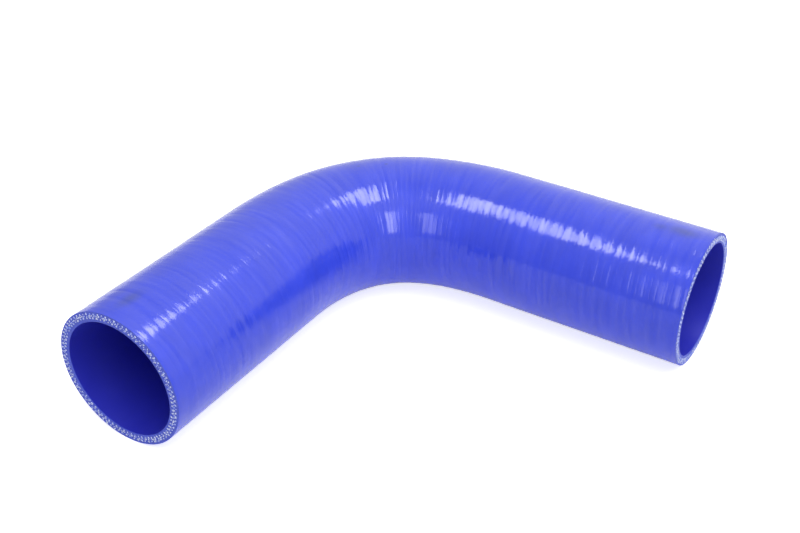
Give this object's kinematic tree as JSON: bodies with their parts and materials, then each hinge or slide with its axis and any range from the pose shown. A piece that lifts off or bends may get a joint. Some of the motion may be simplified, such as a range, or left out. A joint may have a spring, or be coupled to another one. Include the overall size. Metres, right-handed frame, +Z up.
{
  "type": "silicone elbow coolant hose coupler",
  "caption": "Right-angle elbow hose coupler: a round, cloth-reinforced silicone tube with two straight legs, that joins two pipe ends in an engine's coolant circuit.",
  "frame": {"origin": "centre of the bounding box, on the surface that the elbow lies on", "axes": "+Z up, square to the plane of the bend; -Y along the near leg, out of its cut end; +X along the far leg, out of its cut end"},
  "size_m": [0.1784, 0.1784, 0.053],
  "materials": {
    "silicone_rubber": "gloss",
    "polyester_ply": "matte"
  },
  "bodies": {
    "root": {"elbow_hose": "silicone_rubber"}
  },
  "joints": []
}
